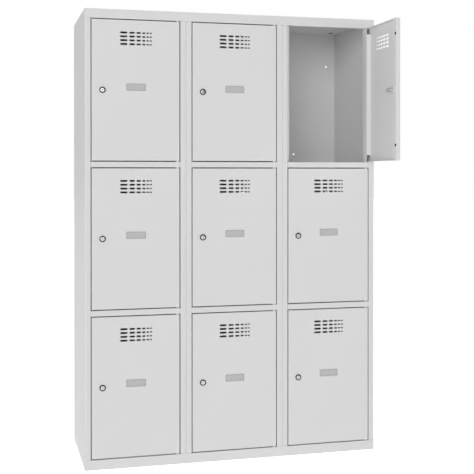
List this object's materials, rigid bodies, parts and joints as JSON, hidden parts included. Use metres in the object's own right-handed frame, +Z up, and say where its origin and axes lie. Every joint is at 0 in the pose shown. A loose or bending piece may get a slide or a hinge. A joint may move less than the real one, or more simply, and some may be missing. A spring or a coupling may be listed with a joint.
{
  "type": "parcel locker",
  "caption": "Free-standing steel parcel locker: columns of stacked compartments behind vented, hinged doors with cam locks and label holders; one door stands open.",
  "frame": {"origin": "on the floor, under the middle of the cabinet's footprint (the cabinet itself, without the open door)", "axes": "+Z up, +Y into the cabinet towards its back panel, +X to the right of a person facing the doors"},
  "size_m": [1.1994, 0.8236, 1.8],
  "materials": {
    "cabinet_paint": "light grey powder coat, fine orange peel",
    "door_paint": "light grey powder coat, fine orange peel",
    "inner_paint": "light grey powder coat, fine orange peel",
    "label_plastic": "satin grey plastic",
    "lock_ring": "black, semi gloss",
    "lock_plug": "polished chrome",
    "hinge_pin": "zinc plated",
    "bumper_rubber": "black rubber",
    "washer_nylon": "white nylon"
  },
  "bodies": {
    "cabinet": {"top_panel": "cabinet_paint", "bottom_panel": "cabinet_paint", "back_panel": "inner_paint", "left_column_left_wall": "cabinet_paint", "left_column_right_wall": "cabinet_paint", "middle_column_left_wall": "cabinet_paint", "middle_column_right_wall": "cabinet_paint", "right_column_left_wall": "cabinet_paint", "right_column_right_wall": "cabinet_paint", "shelf_centre_left": "inner_paint", "shelf_top_left": "inner_paint", "shelf_centre_middle": "inner_paint", "shelf_top_middle": "inner_paint", "shelf_centre_right": "inner_paint", "shelf_top_right": "inner_paint", "hinge_pin_bottom_left": "hinge_pin", "hinge_pin_centre_left": "hinge_pin", "hinge_pin_top_left": "hinge_pin", "hinge_pin_bottom_middle": "hinge_pin", "hinge_pin_centre_middle": "hinge_pin", "hinge_pin_top_middle": "hinge_pin", "hinge_pin_bottom_right": "hinge_pin", "hinge_pin_centre_right": "hinge_pin", "hinge_pin_top_right": "hinge_pin"},
    "door_bottom_left": {"door_bottom_left": "door_paint", "label_holder_bottom_left": "label_plastic", "lock_body_bottom_left": "lock_ring"},
    "cam_bottom_left": {"lock_cam_bottom_left": "lock_plug"},
    "door_centre_left": {"door_centre_left": "door_paint", "label_holder_centre_left": "label_plastic", "lock_body_centre_left": "lock_ring"},
    "cam_centre_left": {"lock_cam_centre_left": "lock_plug"},
    "door_top_left": {"door_top_left": "door_paint", "label_holder_top_left": "label_plastic", "lock_body_top_left": "lock_ring"},
    "cam_top_left": {"lock_cam_top_left": "lock_plug"},
    "door_bottom_middle": {"door_bottom_middle": "door_paint", "label_holder_bottom_middle": "label_plastic", "lock_body_bottom_middle": "lock_ring"},
    "cam_bottom_middle": {"lock_cam_bottom_middle": "lock_plug"},
    "door_centre_middle": {"door_centre_middle": "door_paint", "label_holder_centre_middle": "label_plastic", "lock_body_centre_middle": "lock_ring"},
    "cam_centre_middle": {"lock_cam_centre_middle": "lock_plug"},
    "door_top_middle": {"door_top_middle": "door_paint", "label_holder_top_middle": "label_plastic", "lock_body_top_middle": "lock_ring"},
    "cam_top_middle": {"lock_cam_top_middle": "lock_plug"},
    "door_bottom_right": {"door_bottom_right": "door_paint", "label_holder_bottom_right": "label_plastic", "lock_body_bottom_right": "lock_ring"},
    "cam_bottom_right": {"lock_cam_bottom_right": "lock_plug"},
    "door_centre_right": {"door_centre_right": "door_paint", "label_holder_centre_right": "label_plastic", "lock_body_centre_right": "lock_ring"},
    "cam_centre_right": {"lock_cam_centre_right": "lock_plug"},
    "door_top_right": {"door_top_right": "door_paint", "label_holder_top_right": "label_plastic", "lock_body_top_right": "lock_ring"},
    "cam_top_right": {"lock_cam_top_right": "lock_plug"}
  },
  "joints": [
    {"name": "hinge_bottom_left", "type": "hinge", "parent": "cabinet", "child": "door_bottom_left", "pos_m": [-0.2335, -0.2385, 0.3195], "axis": [0, 0, 1], "range_deg": [0, 110]},
    {"name": "lock_bottom_left", "type": "hinge", "parent": "door_bottom_left", "child": "cam_bottom_left", "pos_m": [-0.5315, -0.245, 0.3195], "axis": [0, 1, 0], "range_deg": [0, 180]},
    {"name": "hinge_centre_left", "type": "hinge", "parent": "cabinet", "child": "door_centre_left", "pos_m": [-0.2335, -0.2385, 0.9015], "axis": [0, 0, 1], "range_deg": [0, 110]},
    {"name": "lock_centre_left", "type": "hinge", "parent": "door_centre_left", "child": "cam_centre_left", "pos_m": [-0.5315, -0.245, 0.9015], "axis": [0, 1, 0], "range_deg": [0, 180]},
    {"name": "hinge_top_left", "type": "hinge", "parent": "cabinet", "child": "door_top_left", "pos_m": [-0.2335, -0.2385, 1.4835], "axis": [0, 0, 1], "range_deg": [0, 110]},
    {"name": "lock_top_left", "type": "hinge", "parent": "door_top_left", "child": "cam_top_left", "pos_m": [-0.5315, -0.245, 1.4835], "axis": [0, 1, 0], "range_deg": [0, 180]},
    {"name": "hinge_bottom_middle", "type": "hinge", "parent": "cabinet", "child": "door_bottom_middle", "pos_m": [0.1665, -0.2385, 0.3195], "axis": [0, 0, 1], "range_deg": [0, 110]},
    {"name": "lock_bottom_middle", "type": "hinge", "parent": "door_bottom_middle", "child": "cam_bottom_middle", "pos_m": [-0.1315, -0.245, 0.3195], "axis": [0, 1, 0], "range_deg": [0, 180]},
    {"name": "hinge_centre_middle", "type": "hinge", "parent": "cabinet", "child": "door_centre_middle", "pos_m": [0.1665, -0.2385, 0.9015], "axis": [0, 0, 1], "range_deg": [0, 110]},
    {"name": "lock_centre_middle", "type": "hinge", "parent": "door_centre_middle", "child": "cam_centre_middle", "pos_m": [-0.1315, -0.245, 0.9015], "axis": [0, 1, 0], "range_deg": [0, 180]},
    {"name": "hinge_top_middle", "type": "hinge", "parent": "cabinet", "child": "door_top_middle", "pos_m": [0.1665, -0.2385, 1.4835], "axis": [0, 0, 1], "range_deg": [0, 110]},
    {"name": "lock_top_middle", "type": "hinge", "parent": "door_top_middle", "child": "cam_top_middle", "pos_m": [-0.1315, -0.245, 1.4835], "axis": [0, 1, 0], "range_deg": [0, 180]},
    {"name": "hinge_bottom_right", "type": "hinge", "parent": "cabinet", "child": "door_bottom_right", "pos_m": [0.5665, -0.2385, 0.3195], "axis": [0, 0, 1], "range_deg": [0, 110]},
    {"name": "lock_bottom_right", "type": "hinge", "parent": "door_bottom_right", "child": "cam_bottom_right", "pos_m": [0.2685, -0.245, 0.3195], "axis": [0, 1, 0], "range_deg": [0, 180]},
    {"name": "hinge_centre_right", "type": "hinge", "parent": "cabinet", "child": "door_centre_right", "pos_m": [0.5665, -0.2385, 0.9015], "axis": [0, 0, 1], "range_deg": [0, 110]},
    {"name": "lock_centre_right", "type": "hinge", "parent": "door_centre_right", "child": "cam_centre_right", "pos_m": [0.2685, -0.245, 0.9015], "axis": [0, 1, 0], "range_deg": [0, 180]},
    {"name": "hinge_top_right", "type": "hinge", "parent": "cabinet", "child": "door_top_right", "pos_m": [0.5665, -0.2385, 1.4835], "axis": [0, 0, 1], "range_deg": [-90.5, 19.5]},
    {"name": "lock_top_right", "type": "hinge", "parent": "door_top_right", "child": "cam_top_right", "pos_m": [0.5756, -0.53643, 1.4835], "axis": [-1, -0.0087, 0], "range_deg": [0, 180]}
  ]
}
